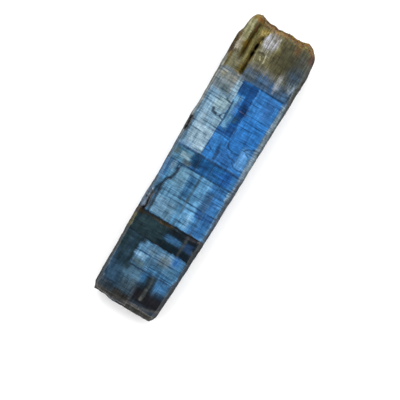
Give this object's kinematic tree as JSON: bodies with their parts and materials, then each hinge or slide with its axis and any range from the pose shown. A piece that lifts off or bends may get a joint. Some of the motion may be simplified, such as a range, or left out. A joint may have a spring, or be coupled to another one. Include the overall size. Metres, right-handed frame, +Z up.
{
  "type": "kyanite crystal",
  "caption": "Single flat bladed kyanite crystal, slowly tapered, with a rough rust-stained broken crown and a broken foot, lying on its broad back face.",
  "frame": {"origin": "middle of the footprint, on the plane that the back face rests on", "axes": "+Y along the blade towards the rust-stained crown, +X across it, +Z up out of the broad front face"},
  "size_m": [0.0106, 0.0408, 0.0044],
  "materials": {
    "kyanite": "cleaved, glassy to pearly, translucent, with rust in the breaks"
  },
  "bodies": {
    "root": {"kyanite_blade": "kyanite"}
  },
  "joints": []
}
